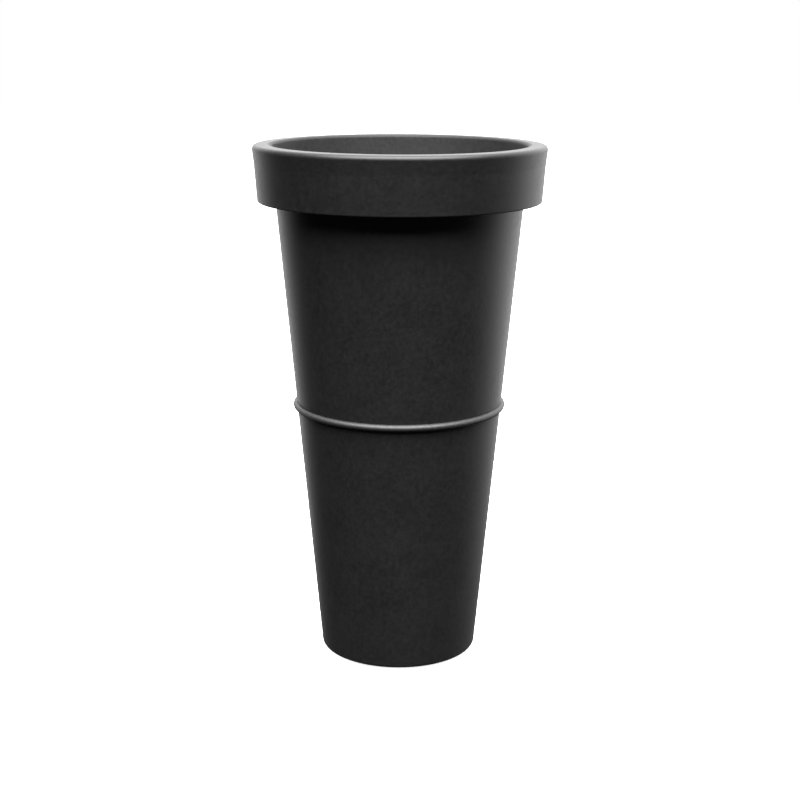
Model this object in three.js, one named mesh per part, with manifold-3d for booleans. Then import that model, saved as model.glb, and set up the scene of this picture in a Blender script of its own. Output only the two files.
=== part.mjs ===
// A tall round planter in glass-fibre laminate: a tapered body with a half-round bead at its waist, a deep
// hollow collar bonded over its mouth, a lift-out planting shelf on four cleats, a screwed drain with a
// pull-out plug, and four rubber feet. Millimetres, +Z up, origin on the floor under the middle of the base.

import * as THREE from "three";
import { mergeVertices } from "three/addons/utils/BufferGeometryUtils.js";
import Module from "manifold-3d";

const wasm = await Module();
wasm.setup();

// Whole planter
const OVERALL_HEIGHT = 914.4; // 36 in, floor to the top of the collar
const OVERALL_DIAMETER = 508; // 20 in, over the lip of the collar
const BASE_DIAMETER = 280; // of the body where it meets its bottom edge
const CLEARANCE = 0.3; // glue line or sliding gap between neighbours

// Body shell
const SHELL_WALL = 3.5; // laminate
const FLOOR_THICKNESS = 5;
const BASE_FILLET = 5.5; // outer bottom corner
const FLOOR_FILLET = 8; // inner bottom corner
const HEEL_WIDTH = 17; // bottom edge that surrounds the recess
const RECESS_DEPTH = 6; // underside, raised inside the heel
const RECESS_DRAFT = 2; // the recess narrows by this much as it rises
const FOOT_PROUD = 4; // the feet lift the heel this far off the floor

// Collar: an upside-down channel over the top edge of the shell
const COLLAR_HEIGHT = 97;
const COLLAR_OVERHANG = 29.5; // its outer face stands this far outside the body's wall line at the top
const COLLAR_FLARE = 7.2; // its outer face leans out by this much from bottom to top
const COLLAR_WALL = 4;
const COLLAR_EDGE_FILLET = 2.5; // outer corner of its bottom edge
const LIP_RADIUS = 7; // rolled lip round the outer top corner
const LIP_PROUD = 0.5; // the lip stands this far outside the outer face
const INNER_LEG_WALL = 3; // the leg that lies inside the mouth
const INNER_FILLET = 6; // inner top corner of the collar
const JOGGLE_RISE = 10; // height over which the shell steps out to make room for the inner leg
const JOGGLE_ABOVE_SOFFIT = 15.2; // the step starts this far above the soffit

// Soffit and core of the collar
const SOFFIT_THICKNESS = 3;
const SOFFIT_RECESS = 2.5; // above the collar's bottom edge
const CORE_HEIGHT = 52;
const CORE_COUNT = 4; // a ring sawn from board in equal pieces
const CORE_END_GAP = 1;

// Waist bead
const BEAD_HEIGHT = 457.2; // of its middle
const BEAD_RADIUS = 6.6;
const BEAD_OFFSET = 0.4; // its centre lies this far outside the wall

// Base board, bonded to the floor inside
const BOARD_THICKNESS = 12;
const BOARD_MARGIN = 16; // from the wall at the floor

// Planting shelf and its cleats
const SHELF_HEIGHT = 560; // top face
const SHELF_THICKNESS = 8;
const SHELF_CLEARANCE = 3; // to the wall
const SHELF_EDGE_CHAMFER = 1.5;
const RIB_DEPTH = 16;
const RIB_WIDTH = 6;
const RIB_COUNT = 3; // bars across the underside
const RIB_RING_INSET = 50; // outer face of the ring rib, from the shelf's edge
const WEEP_HOLE_RADIUS = 6;
const WEEP_INNER_CIRCLE = 50; // radius of the inner circle of weep holes
const WEEP_RIB_DISTANCE = 19; // from the middle circle's holes to the ring rib
const FINGER_HOLE_RADIUS = 16;
const FINGER_HOLE_SPACING = 183; // between the centres of the two
const CLEAT_COUNT = 4;
const CLEAT_WIDTH = 60;
const CLEAT_REACH = 28; // from the wall inwards
const CLEAT_DROP = 40;
const CLEAT_WALL = 5;

// Drain
const BORE_RADIUS = 11;
const BARREL_RADIUS = 14;
const FLANGE_RADIUS = 23;
const FLANGE_THICKNESS = 3;
const GASKET_THICKNESS = 2;
const NUT_WIDTH = 40; // across flats
const NUT_THICKNESS = 4.6;
const BARREL_PROUD = 0.6; // below the nut
const COUNTERBORE_DEPTH = 6; // in the board, so the flange lies flush

// Drain plug and its ring seal
const PLUG_LENGTH = 17; // below its head
const PLUG_RADIUS = 10.4;
const PLUG_HEAD_RADIUS = 17;
const PLUG_HEAD_THICKNESS = 4;
const KNOB_RADIUS = 8;
const KNOB_NECK_RADIUS = 4.5;
const KNOB_NECK_HEIGHT = 6;
const KNOB_THICKNESS = 6;
const SEAL_RADIUS = 1.4; // of its round section
const SEAL_DROP = 8; // below the plug's head
const SEAL_GAP = 0.2; // to the bore

// Feet and their screws
const FOOT_COUNT = 4;
const FOOT_MARGIN = 5; // from the wall of the recess
const FOOT_TOP_RADIUS = 17;
const FOOT_BOTTOM_RADIUS = 14.5;
const FOOT_EDGE_FILLET = 1.5;
const SCREW_RADIUS = 2.2;
const SCREW_LENGTH = 18; // under the head
const SCREW_HEAD_RADIUS = 4.6;
const SCREW_HEAD_HEIGHT = 3;
const SCREW_HEAD_DEPTH = 1.6; // the head lies this far up inside the foot
const SCREW_SOCKET_WIDTH = 3; // across flats
const SCREW_SOCKET_DEPTH = 2;

// Facets round a turn
const RING_SIDES = 64;
const SMALL_SIDES = 24;
const HOLE_SIDES = 10;
const ARC_CHORD = 2; // length between two points on a fillet, at most
const ARC_TURN = Math.PI / 4; // turn between two points on a fillet, at most

// Heights and radii worked out from the sizes above
const baseRadius = BASE_DIAMETER / 2;
const lipRadius = OVERALL_DIAMETER / 2;
const collarFaceTop = lipRadius - LIP_PROUD;
const mouthRadius = collarFaceTop - COLLAR_OVERHANG;
const wallSlope = (mouthRadius - baseRadius) / (OVERALL_HEIGHT - FOOT_PROUD);
const wallTilt = Math.atan(wallSlope);
const recessTop = FOOT_PROUD + RECESS_DEPTH;
const recessRadius = baseRadius - HEEL_WIDTH - RECESS_DRAFT;
const floorTop = recessTop + FLOOR_THICKNESS;
const boardBottom = floorTop + CLEARANCE;
const boardTop = boardBottom + BOARD_THICKNESS;
const boardRadius = innerWallRadius(floorTop) - BOARD_MARGIN;
const holeRadius = BARREL_RADIUS + 2 * CLEARANCE;
const screwHoleRadius = SCREW_RADIUS + CLEARANCE;
const collarBottom = OVERALL_HEIGHT - COLLAR_HEIGHT;
const soffitBottom = collarBottom + SOFFIT_RECESS;
const soffitTop = soffitBottom + SOFFIT_THICKNESS;
const joggleBottom = soffitTop + JOGGLE_ABOVE_SOFFIT;
const joggleTop = joggleBottom + JOGGLE_RISE;
const legBottom = joggleTop + CLEARANCE;
const joggleStep = INNER_LEG_WALL + CLEARANCE;
const shelfBottom = SHELF_HEIGHT - SHELF_THICKNESS;
const shelfRadius = innerWallRadius(shelfBottom) - SHELF_CLEARANCE;
const flangeBottom = boardTop - COUNTERBORE_DEPTH + GASKET_THICKNESS + 2 * CLEARANCE;
const flangeTop = flangeBottom + FLANGE_THICKNESS;
const nutTop = recessTop - CLEARANCE;
const plugHeadBottom = flangeTop + CLEARANCE;
const sealHeight = plugHeadBottom - SEAL_DROP;
const sealRingRadius = BORE_RADIUS - SEAL_GAP - SEAL_RADIUS;
const screwHeadTop = SCREW_HEAD_DEPTH + SCREW_HEAD_HEIGHT;

// Radius of the body's straight outer wall line at a height, which runs from the heel to the mouth.
function wallRadius(z) {
  return baseRadius + wallSlope * (z - FOOT_PROUD);
}

function innerWallRadius(z) {
  return wallRadius(z) - SHELL_WALL;
}

// Radius of the collar's leaning outer face at a height.
function collarFaceRadius(z) {
  return collarFaceTop - (COLLAR_FLARE * (OVERALL_HEIGHT - z)) / COLLAR_HEIGHT;
}

// Points on a round corner, from one angle to another, as [radius, height].
function arc(r, z, radius, from, to) {
  const turn = Math.abs(to - from);
  const steps = Math.ceil(Math.max(turn / ARC_TURN, (turn * radius) / ARC_CHORD));
  return Array.from({ length: steps + 1 }, (_, i) => {
    const angle = from + ((to - from) * i) / steps;
    return [r + radius * Math.cos(angle), z + radius * Math.sin(angle)];
  });
}

// Solid of revolution about Z from an outline of [radius, height] points that runs anticlockwise. An
// outline that starts and ends on the axis is left open there, and any other is closed.
function turned(outline, sides) {
  const onAxis = outline[0][0] === 0 && outline.at(-1)[0] === 0;
  const loop = onAxis ? outline : [...outline, outline[0]];
  const points = loop.map(([r, z]) => new THREE.Vector2(r, z));
  return new THREE.LatheGeometry(points, sides).rotateX(Math.PI / 2);
}

// Upright prism or round bar with its middle at a point on the plan.
function upright(radius, bottom, top, sides, x = 0, y = 0) {
  const bar = new THREE.CylinderGeometry(radius, radius, top - bottom, sides);
  return bar.rotateX(Math.PI / 2).translate(x, y, (bottom + top) / 2);
}

// Flat ring with square edges.
function flatRing(inner, outer, bottom, top, sides) {
  const outline = [
    [inner, bottom],
    [outer, bottom],
    [outer, top],
    [inner, top],
  ];
  return turned(outline, sides);
}

// Box that runs out along X from one distance to another, turned about Z.
function spoke(from, to, width, bottom, top, angle) {
  const box = new THREE.BoxGeometry(to - from, width, top - bottom);
  return box.translate((from + to) / 2, 0, (bottom + top) / 2).rotateZ(angle);
}

function solid(geometry) {
  const bare = geometry.clone();
  bare.deleteAttribute("normal");
  bare.deleteAttribute("uv");
  const merged = mergeVertices(bare, 1e-3);
  const triVerts = Uint32Array.from(merged.index.array);
  const vertProperties = merged.attributes.position.array;
  return new wasm.Manifold(new wasm.Mesh({ numProp: 3, vertProperties, triVerts }));
}

function cut(geometry, tools) {
  return surface(tools.reduce((rest, tool) => rest.subtract(solid(tool)), solid(geometry)));
}

function join(geometries) {
  return surface(geometries.map(solid).reduce((whole, piece) => whole.add(piece)));
}

function common(a, b) {
  return surface(solid(a).intersect(solid(b)));
}

function surface(manifold) {
  const mesh = manifold.getMesh();
  const geometry = new THREE.BufferGeometry();
  geometry.setAttribute("position", new THREE.BufferAttribute(mesh.vertProperties, 3));
  geometry.setIndex(new THREE.BufferAttribute(mesh.triVerts, 1));
  geometry.computeVertexNormals();
  return geometry;
}

// Places spread evenly on a circle, the first at an angle.
function around(count, radius, first = 0) {
  return Array.from({ length: count }, (_, i) => {
    const angle = first + (2 * Math.PI * i) / count;
    return { x: radius * Math.cos(angle), y: radius * Math.sin(angle), angle };
  });
}

// Centres of the feet, between the axes.
const footCircleRadius = recessRadius - FOOT_MARGIN - FOOT_TOP_RADIUS;
const footPlaces = around(FOOT_COUNT, footCircleRadius, Math.PI / FOOT_COUNT);

const paint = (color, roughness, metalness = 0) =>
  new THREE.MeshStandardMaterial({ color, roughness, metalness });
const coating = paint(0x2b2c2e, 0.5);
const laminate = paint(0x34363a, 0.75);
const foam = paint(0xd8c48a, 0.95);
const board = paint(0x8a7a58, 0.85);
const shelfPlastic = paint(0x232425, 0.6);
const fittingPlastic = paint(0x1d1e20, 0.45);
const rubber = paint(0x141414, 0.85);
const stainless = paint(0xb9bcbf, 0.35, 1);

const planter = new THREE.Group();

function add(name, geometry, material) {
  const mesh = new THREE.Mesh(geometry, material);
  mesh.name = name;
  planter.add(mesh);
}

// The laid-up body: heel, recessed floor and tapered wall, whose top steps out round the inner leg.
function bodyShell() {
  const wall = SHELL_WALL;
  const top = OVERALL_HEIGHT - COLLAR_WALL - CLEARANCE;
  const filletRadius = wallRadius(FOOT_PROUD + BASE_FILLET) - BASE_FILLET;
  const floorCorner = innerWallRadius(floorTop + FLOOR_FILLET) - FLOOR_FILLET;
  const outline = [
    [holeRadius, recessTop],
    [recessRadius, recessTop],
    [recessRadius + RECESS_DRAFT, FOOT_PROUD],
    ...arc(filletRadius, FOOT_PROUD + BASE_FILLET, BASE_FILLET, -Math.PI / 2, 0),
    [wallRadius(joggleBottom), joggleBottom],
    [wallRadius(joggleTop) + joggleStep, joggleTop],
    [wallRadius(top) + joggleStep, top],
    [wallRadius(top) + joggleStep - wall, top],
    [wallRadius(joggleTop) + joggleStep - wall, joggleTop],
    [innerWallRadius(joggleBottom), joggleBottom],
    ...arc(floorCorner, floorTop + FLOOR_FILLET, FLOOR_FILLET, 0, -Math.PI / 2),
    [holeRadius, floorTop],
  ];
  const holes = footPlaces.map(({ x, y }) =>
    upright(screwHoleRadius, recessTop - 1, floorTop + 1, HOLE_SIDES, x, y),
  );
  return cut(turned(outline, RING_SIDES), holes);
}

// The collar: outer face, rolled lip, flat top, and an inner leg that carries on the line of the
// body's inner wall.
function rimCollar() {
  const top = OVERALL_HEIGHT;
  const underTop = top - COLLAR_WALL;
  const legOuter = (z) => innerWallRadius(z) + INNER_LEG_WALL;
  const lip = { r: lipRadius - LIP_RADIUS, z: top - LIP_RADIUS };
  // Where the roll comes back to the leaning face: the face is taken as upright over the lip.
  const lipEnd = -Math.acos((collarFaceRadius(lip.z - LIP_RADIUS / 2) - lip.r) / LIP_RADIUS);
  const edge = {
    r: collarFaceRadius(collarBottom) - COLLAR_EDGE_FILLET,
    z: collarBottom + COLLAR_EDGE_FILLET,
  };
  const inner = { r: innerWallRadius(top - INNER_FILLET) + INNER_FILLET, z: top - INNER_FILLET };
  const outline = [
    [collarFaceRadius(collarBottom) - COLLAR_WALL, collarBottom],
    ...arc(edge.r, edge.z, COLLAR_EDGE_FILLET, -Math.PI / 2, 0),
    ...arc(lip.r, lip.z, LIP_RADIUS, lipEnd, Math.PI / 2),
    ...arc(inner.r, inner.z, INNER_FILLET, Math.PI / 2, Math.PI),
    [innerWallRadius(legBottom), legBottom],
    [legOuter(legBottom), legBottom],
    [legOuter(underTop), underTop],
    [collarFaceRadius(underTop) - COLLAR_WALL, underTop],
  ];
  return turned(outline, RING_SIDES);
}

// Flat ring that closes the collar from below, between its outer leg and the body.
function rimSoffit() {
  const legInside = (z) => collarFaceRadius(z) - COLLAR_WALL - CLEARANCE;
  const outline = [
    [wallRadius(soffitBottom) + CLEARANCE, soffitBottom],
    [legInside(soffitBottom), soffitBottom],
    [legInside(soffitTop), soffitTop],
    [wallRadius(soffitTop) + CLEARANCE, soffitTop],
  ];
  return turned(outline, RING_SIDES);
}

// One piece of the stiffening ring that fills the top of the collar outside the shell.
function rimCore(angle) {
  const top = OVERALL_HEIGHT - COLLAR_WALL - CLEARANCE;
  const bottom = top - CORE_HEIGHT;
  const shellOutside = (z) => wallRadius(z) + joggleStep + CLEARANCE;
  const legInside = (z) => collarFaceRadius(z) - COLLAR_WALL - CLEARANCE;
  const outline = [
    [shellOutside(bottom), bottom],
    [legInside(bottom), bottom],
    [legInside(top), top],
    [shellOutside(top), top],
  ];
  const span = (2 * Math.PI) / CORE_COUNT;
  const reach = (2 * lipRadius) / Math.cos(span / 2);
  const sector = new THREE.Shape([
    new THREE.Vector2(0, 0),
    new THREE.Vector2(reach * Math.cos(span / 2), -reach * Math.sin(span / 2)),
    new THREE.Vector2(reach * Math.cos(span / 2), reach * Math.sin(span / 2)),
  ]);
  const wedge = new THREE.ExtrudeGeometry(sector, { depth: CORE_HEIGHT * 2, bevelEnabled: false });
  wedge.translate(CORE_END_GAP / 2 / Math.sin(span / 2), 0, bottom - CORE_HEIGHT / 2);
  return common(turned(outline, RING_SIDES), wedge.rotateZ(angle));
}

// Half-round bead whose flat back lies against the wall.
function waistBead() {
  const backDistance = BEAD_OFFSET - CLEARANCE;
  const reach = Math.PI / 2 + Math.asin(backDistance / BEAD_RADIUS);
  const centre = wallRadius(BEAD_HEIGHT) + BEAD_OFFSET;
  return turned(arc(centre, BEAD_HEIGHT, BEAD_RADIUS, -reach - wallTilt, reach - wallTilt), RING_SIDES);
}

// Board disc that stiffens the floor, with a counterbored drain hole and blind holes for the screws.
function baseBoard() {
  const pilotTop = screwHeadTop + SCREW_LENGTH + 1;
  const pilots = footPlaces.map(({ x, y }) =>
    upright(screwHoleRadius, boardBottom - 1, pilotTop, HOLE_SIDES, x, y),
  );
  const outline = [
    [holeRadius, boardBottom],
    [boardRadius, boardBottom],
    [boardRadius, boardTop],
    [FLANGE_RADIUS + 1, boardTop],
    [FLANGE_RADIUS + 1, boardTop - COUNTERBORE_DEPTH],
    [holeRadius, boardTop - COUNTERBORE_DEPTH],
  ];
  return cut(turned(outline, RING_SIDES), pilots);
}

// Lift-out shelf: a disc with weep holes and two finger holes, stiffened below by a ring and bars.
function plantingShelf() {
  const ribBottom = shelfBottom - RIB_DEPTH;
  const ribRing = shelfRadius - RIB_RING_INSET;
  const disc = turned(
    [
      [0, shelfBottom],
      [shelfRadius - SHELF_EDGE_CHAMFER, shelfBottom],
      [shelfRadius, shelfBottom + SHELF_EDGE_CHAMFER],
      [shelfRadius, SHELF_HEIGHT - SHELF_EDGE_CHAMFER],
      [shelfRadius - SHELF_EDGE_CHAMFER, SHELF_HEIGHT],
      [0, SHELF_HEIGHT],
    ],
    RING_SIDES,
  );
  const lapped = shelfBottom + 1; // the ribs run this far into the disc
  const ring = flatRing(ribRing - RIB_WIDTH, ribRing, ribBottom, lapped, RING_SIDES);
  const halfBar = ribRing - RIB_WIDTH / 2;
  const bars = Array.from({ length: RIB_COUNT }, (_, i) =>
    spoke(-halfBar, halfBar, RIB_WIDTH, ribBottom, lapped, Math.PI * (i / RIB_COUNT + 1 / 2)),
  );
  const hole = (radius, sides, { x, y }) => upright(radius, shelfBottom - 1, SHELF_HEIGHT + 1, sides, x, y);
  const cleatInside = innerWallRadius(shelfBottom) - CLEAT_REACH;
  const weeps = [
    ...around(2 * RIB_COUNT, WEEP_INNER_CIRCLE),
    ...around(4 * RIB_COUNT, ribRing - RIB_WIDTH - WEEP_RIB_DISTANCE, Math.PI / RIB_COUNT / 4),
    ...around(6 * RIB_COUNT, (ribRing + cleatInside) / 2, Math.PI / RIB_COUNT / 6),
  ].map((place) => hole(WEEP_HOLE_RADIUS, HOLE_SIDES, place));
  const fingers = around(2, FINGER_HOLE_SPACING / 2).map((place) =>
    hole(FINGER_HOLE_RADIUS, SMALL_SIDES, place),
  );
  return cut(join([disc, ring, ...bars]), [...weeps, ...fingers]);
}

// Angle bracket bonded to the wall under the shelf.
function shelfCleat(angle) {
  const top = shelfBottom - CLEARANCE;
  const bottom = top - CLEAT_DROP;
  const underLeg = top - CLEAT_WALL;
  const back = (z) => innerWallRadius(z) - CLEARANCE;
  const outline = [
    [back(bottom) - CLEAT_WALL, bottom],
    [back(bottom), bottom],
    [back(top), top],
    [back(top) - CLEAT_REACH, top],
    [back(top) - CLEAT_REACH, underLeg],
    [back(underLeg) - CLEAT_WALL, underLeg],
  ];
  const reach = back(top) + CLEAT_REACH;
  const slice = spoke(0, reach, CLEAT_WIDTH, bottom - 1, top + 1, angle);
  return common(turned(outline, RING_SIDES), slice);
}

// Flanged drain bush, dropped through the board and floor from inside.
function drainFitting() {
  const bottom = nutTop - NUT_THICKNESS - BARREL_PROUD;
  const outline = [
    [BORE_RADIUS, bottom],
    [BARREL_RADIUS, bottom],
    [BARREL_RADIUS, flangeBottom],
    [FLANGE_RADIUS, flangeBottom],
    [FLANGE_RADIUS, flangeTop - 1],
    [FLANGE_RADIUS - 1, flangeTop],
    [BORE_RADIUS + 1, flangeTop],
    [BORE_RADIUS, flangeTop - 1],
  ];
  return turned(outline, SMALL_SIDES);
}

function drainGasket() {
  const bottom = boardTop - COUNTERBORE_DEPTH + CLEARANCE;
  const top = bottom + GASKET_THICKNESS;
  return flatRing(BARREL_RADIUS + CLEARANCE, FLANGE_RADIUS - 1, bottom, top, SMALL_SIDES);
}

// Hexagonal back nut that draws the bush down against the floor's underside.
function drainNut() {
  const hexagon = upright(NUT_WIDTH / 2 / Math.cos(Math.PI / 6), nutTop - NUT_THICKNESS, nutTop, 6);
  const bore = upright(BARREL_RADIUS + CLEARANCE, nutTop - NUT_THICKNESS - 1, nutTop + 1, SMALL_SIDES);
  return cut(hexagon, [bore]);
}

// Plug with a pull knob and a groove for its ring seal.
function drainPlug() {
  const headTop = plugHeadBottom + PLUG_HEAD_THICKNESS;
  const knobBottom = headTop + KNOB_NECK_HEIGHT;
  const knobTop = knobBottom + KNOB_THICKNESS;
  const plugBottom = plugHeadBottom - PLUG_LENGTH;
  const grooveHalf = SEAL_RADIUS + CLEARANCE;
  const grooveRadius = sealRingRadius - SEAL_RADIUS - CLEARANCE;
  const outline = [
    [0, plugBottom],
    [PLUG_RADIUS - 1, plugBottom],
    [PLUG_RADIUS, plugBottom + 1],
    [PLUG_RADIUS, sealHeight - grooveHalf],
    [grooveRadius, sealHeight - grooveHalf],
    [grooveRadius, sealHeight + grooveHalf],
    [PLUG_RADIUS, sealHeight + grooveHalf],
    [PLUG_RADIUS, plugHeadBottom],
    [PLUG_HEAD_RADIUS, plugHeadBottom],
    [PLUG_HEAD_RADIUS, headTop - 1],
    [PLUG_HEAD_RADIUS - 1, headTop],
    [KNOB_NECK_RADIUS, headTop],
    [KNOB_NECK_RADIUS, knobBottom],
    [KNOB_RADIUS, knobBottom + 1],
    [KNOB_RADIUS, knobTop - 1],
    [KNOB_RADIUS - 1, knobTop],
    [0, knobTop],
  ];
  return turned(outline, SMALL_SIDES);
}

function plugSeal() {
  return turned(arc(sealRingRadius, sealHeight, SEAL_RADIUS, 0, (9 / 5) * Math.PI), SMALL_SIDES);
}

// Rubber foot with a stepped hole that hides the screw's head.
function foot({ x, y }) {
  const top = recessTop - CLEARANCE;
  const outline = [
    [SCREW_HEAD_RADIUS + 2 * CLEARANCE, 0],
    ...arc(FOOT_BOTTOM_RADIUS - FOOT_EDGE_FILLET, FOOT_EDGE_FILLET, FOOT_EDGE_FILLET, -Math.PI / 2, 0),
    [FOOT_TOP_RADIUS, top],
    [screwHoleRadius, top],
    [screwHoleRadius, screwHeadTop + CLEARANCE],
    [SCREW_HEAD_RADIUS + 2 * CLEARANCE, screwHeadTop + CLEARANCE],
  ];
  return turned(outline, SMALL_SIDES).translate(x, y, 0);
}

// Pan-head screw with a hexagonal socket, driven up into the board.
function footScrew({ x, y }) {
  const tip = screwHeadTop + SCREW_LENGTH;
  const outline = [
    [0, SCREW_HEAD_DEPTH],
    [SCREW_HEAD_RADIUS - 1, SCREW_HEAD_DEPTH],
    [SCREW_HEAD_RADIUS, SCREW_HEAD_DEPTH + 1],
    [SCREW_HEAD_RADIUS, screwHeadTop],
    [SCREW_RADIUS, screwHeadTop],
    [SCREW_RADIUS, tip - SCREW_RADIUS],
    [0, tip],
  ];
  const socketRadius = SCREW_SOCKET_WIDTH / 2 / Math.cos(Math.PI / 6);
  const socket = upright(socketRadius, SCREW_HEAD_DEPTH - 1, SCREW_HEAD_DEPTH + SCREW_SOCKET_DEPTH, 6);
  return cut(turned(outline, HOLE_SIDES), [socket]).translate(x, y, 0);
}

add("body_shell", bodyShell(), coating);
add("rim_collar", rimCollar(), coating);
add("rim_soffit", rimSoffit(), coating);
around(CORE_COUNT, 0, Math.PI / CORE_COUNT).forEach(({ angle }, i) => {
  add(`rim_core_${i + 1}`, rimCore(angle), foam);
});
add("waist_bead", waistBead(), coating);
add("base_board", baseBoard(), board);
add("planting_shelf", plantingShelf(), shelfPlastic);
around(CLEAT_COUNT, 0, Math.PI / CLEAT_COUNT).forEach(({ angle }, i) => {
  add(`shelf_cleat_${i + 1}`, shelfCleat(angle), laminate);
});
add("drain_fitting", drainFitting(), fittingPlastic);
add("drain_gasket", drainGasket(), rubber);
add("drain_nut", drainNut(), fittingPlastic);
add("drain_plug", drainPlug(), rubber);
add("plug_seal", plugSeal(), rubber);
footPlaces.forEach((place, i) => {
  add(`foot_${i + 1}`, foot(place), rubber);
  add(`foot_screw_${i + 1}`, footScrew(place), stainless);
});

export default planter;
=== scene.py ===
"""A tall round planter in charcoal-coated glass-fibre laminate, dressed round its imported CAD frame.

Everything is in metres with +Z up. Sizes of pieces and the camera's place are written in
millimetres, and MM turns them into metres where a mesh or a texture is made. Those of the floor and
the lamp are in metres.
"""

import math

import bmesh
import bpy
import numpy as np
from mathutils import Matrix, Vector
from mathutils.geometry import delaunay_2d_cdt


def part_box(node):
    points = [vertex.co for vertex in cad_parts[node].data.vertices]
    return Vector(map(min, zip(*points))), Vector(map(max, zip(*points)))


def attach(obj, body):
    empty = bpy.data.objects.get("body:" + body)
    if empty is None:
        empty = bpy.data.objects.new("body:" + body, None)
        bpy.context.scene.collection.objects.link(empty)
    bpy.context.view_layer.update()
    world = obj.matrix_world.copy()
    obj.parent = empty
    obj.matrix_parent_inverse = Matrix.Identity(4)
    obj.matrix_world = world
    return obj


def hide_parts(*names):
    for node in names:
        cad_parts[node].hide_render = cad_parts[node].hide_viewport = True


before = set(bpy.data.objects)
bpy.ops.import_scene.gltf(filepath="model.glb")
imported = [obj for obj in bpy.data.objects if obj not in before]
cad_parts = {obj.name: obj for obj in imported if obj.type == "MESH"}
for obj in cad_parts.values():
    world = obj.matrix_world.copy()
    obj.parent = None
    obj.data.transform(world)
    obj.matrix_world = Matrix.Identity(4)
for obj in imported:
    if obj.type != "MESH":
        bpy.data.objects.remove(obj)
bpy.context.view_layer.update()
scene = bpy.context.scene
MM = 0.001

# ---------------------------------------------------------------------------------------------
# Camera. It stands in front of the planter, a little above the rim, and looks down on it, so that
# the mouth shows as a thin ellipse and the base as a deeper one.
CAMERA_DISTANCE = 2589.2
CAMERA_HEIGHT = 1109.6
CAMERA_PITCH = 14.079  # degrees below the horizon
CAMERA_YAW = -0.037
CAMERA_ROLL = 0.21
FOCAL_SHARE = 1.862  # focal length over the picture's width

camera = bpy.data.objects.new("camera", bpy.data.cameras.new("camera"))
scene.collection.objects.link(camera)
scene.camera = camera
camera.data.lens = FOCAL_SHARE * camera.data.sensor_width
turn = Matrix.Rotation(math.radians(CAMERA_YAW), 4, "Z")
turn @= Matrix.Rotation(math.radians(90 - CAMERA_PITCH), 4, "X")
turn @= Matrix.Rotation(math.radians(CAMERA_ROLL), 4, "Z")
place = Vector((0, -CAMERA_DISTANCE, CAMERA_HEIGHT)) * MM
camera.matrix_world = Matrix.Translation(place) @ turn
scene.view_settings.view_transform = "Standard"

# ---------------------------------------------------------------------------------------------
# Floor: white paper, bright enough to stay white right up to the planter. It casts nothing on the
# planter, whose underside and collar stay as dark as they are over a dull floor.
FLOOR_SIZE = 40.0
PAPER = "#e7e7e7"
WHITE = "#ffffff"
PAPER_GLOW = 0.9  # its own light, which keeps it white in the planter's shade


def linear(code):
    """An sRGB hex code such as "#2b2c2e" as linear red, green, blue and alpha."""
    shares = np.array([int(code[i : i + 2], 16) for i in (1, 3, 5)]) / 255
    return (*np.where(shares <= 0.04045, shares / 12.92, ((shares + 0.055) / 1.055) ** 2.4), 1.0)


def feed(tree, node, inputs):
    """Sets the input sockets of a node, from a list in their order or from a dict by name or number.
    Each gets a value, or is linked to an output or to a node's first output."""
    for key, value in inputs.items() if isinstance(inputs, dict) else enumerate(inputs):
        if isinstance(value, bpy.types.Node):
            value = value.outputs[0]
        if isinstance(value, bpy.types.NodeSocket):
            tree.links.new(value, node.inputs[key])
        else:
            node.inputs[key].default_value = value


def add(tree, kind, inputs=(), **settings):
    """A new shader node of a kind, with its settings and its inputs as feed takes them."""
    node = tree.nodes.new(f"ShaderNode{kind}")
    for key, value in settings.items():
        setattr(node, key, value)
    feed(tree, node, inputs)
    return node


def new_material(name, inputs):
    """A material with inputs for its Principled shader; returns it with its tree, that shader and
    its object coordinates."""
    material = bpy.data.materials.new(name)
    material.use_nodes = True
    tree = material.node_tree
    shader = tree.nodes["Principled BSDF"]
    feed(tree, shader, inputs)
    return material, tree, shader, add(tree, "TexCoord").outputs["Object"]


floor_mesh = bpy.data.meshes.new("floor")
corners = np.array([[-1, -1, 0], [1, -1, 0], [1, 1, 0], [-1, 1, 0]]) * FLOOR_SIZE / 2
floor_mesh.from_pydata(corners.tolist(), [], [[0, 1, 2, 3]])
floor = bpy.data.objects.new("floor", floor_mesh)
scene.collection.objects.link(floor)
paper = {"Base Color": linear(PAPER), "Roughness": 0.9, "Specular IOR Level": 0.1}
paper |= {"Emission Color": linear(WHITE), "Emission Strength": PAPER_GLOW}
floor_mesh.materials.append(new_material("white_paper", paper)[0])
floor.visible_diffuse = False
floor.visible_glossy = False

# ---------------------------------------------------------------------------------------------
# Studio light. A wide soft box hangs high in front, so the collar and the bead throw bands of shade
# on the wall. The world gives the rest: a backdrop behind, a bright ceiling and a dim floor. Its
# heights are those of a ray's direction, from -1 straight down to 1 straight up.
SOFT_BOX_PLACE = (0, -6.4, 13.0)
SOFT_BOX_AIM = (0, 0, 0.5)
SOFT_BOX_SIZE = (22.0, 11.0)
SOFT_BOX_WATTS = 11200
BACKDROP_LIGHT = 2.15
BACKDROP_START = 0.3  # how far a ray points to the back where it starts
BACKDROP_FULL = 0.9  # and where it is full
BACKDROP_LEAN = 0.18  # how far it is turned to the right
BACKDROP_RETURN = 0.2  # how much further round it comes on the right side alone
BACKDROP_TILT = 0.04  # how far its foot rises to the right
BACKDROP_FOOT = (-0.4, -0.27)  # heights between which it fades in above the floor
BACKDROP_TOP = (-0.05, 0.3)  # heights between which it grows brighter
BACKDROP_TOP_GAIN = 1.45
OVERHEAD_LIGHT = 8.0
OVERHEAD_EDGE = (0.75, 0.97)  # heights between which it comes in
FLOOR_GLOW = 0.06
FLOOR_EDGE = (-0.42, -0.3)  # heights between which it fades out

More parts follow.
